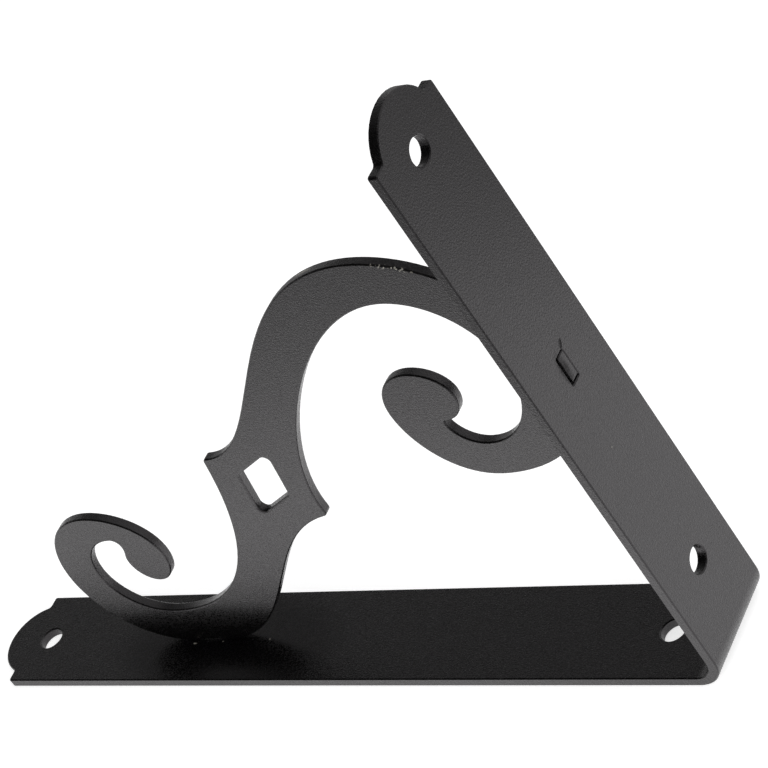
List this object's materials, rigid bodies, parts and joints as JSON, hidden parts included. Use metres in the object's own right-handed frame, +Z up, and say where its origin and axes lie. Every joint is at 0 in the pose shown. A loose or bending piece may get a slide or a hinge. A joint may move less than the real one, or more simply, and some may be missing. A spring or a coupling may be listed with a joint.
{
  "type": "scroll shelf bracket",
  "caption": "Small steel shelf bracket: a flat strap bent to an L with round-lobed ends and screw holes, braced by a flat S-scroll plate with a diamond window.",
  "frame": {"origin": "middle of the long leg's footprint, on the surface that the bracket stands on", "axes": "+X runs along the long leg towards the bend, and out of the short leg's fastening face; +Z runs up the short leg; Y runs across the strap's width"},
  "size_m": [0.204, 0.025, 0.147],
  "materials": {
    "black_powder_coat": "fine sand-textured black powder coat on steel"
  },
  "bodies": {
    "root": {"strap": "black_powder_coat", "scroll": "black_powder_coat"}
  },
  "joints": []
}
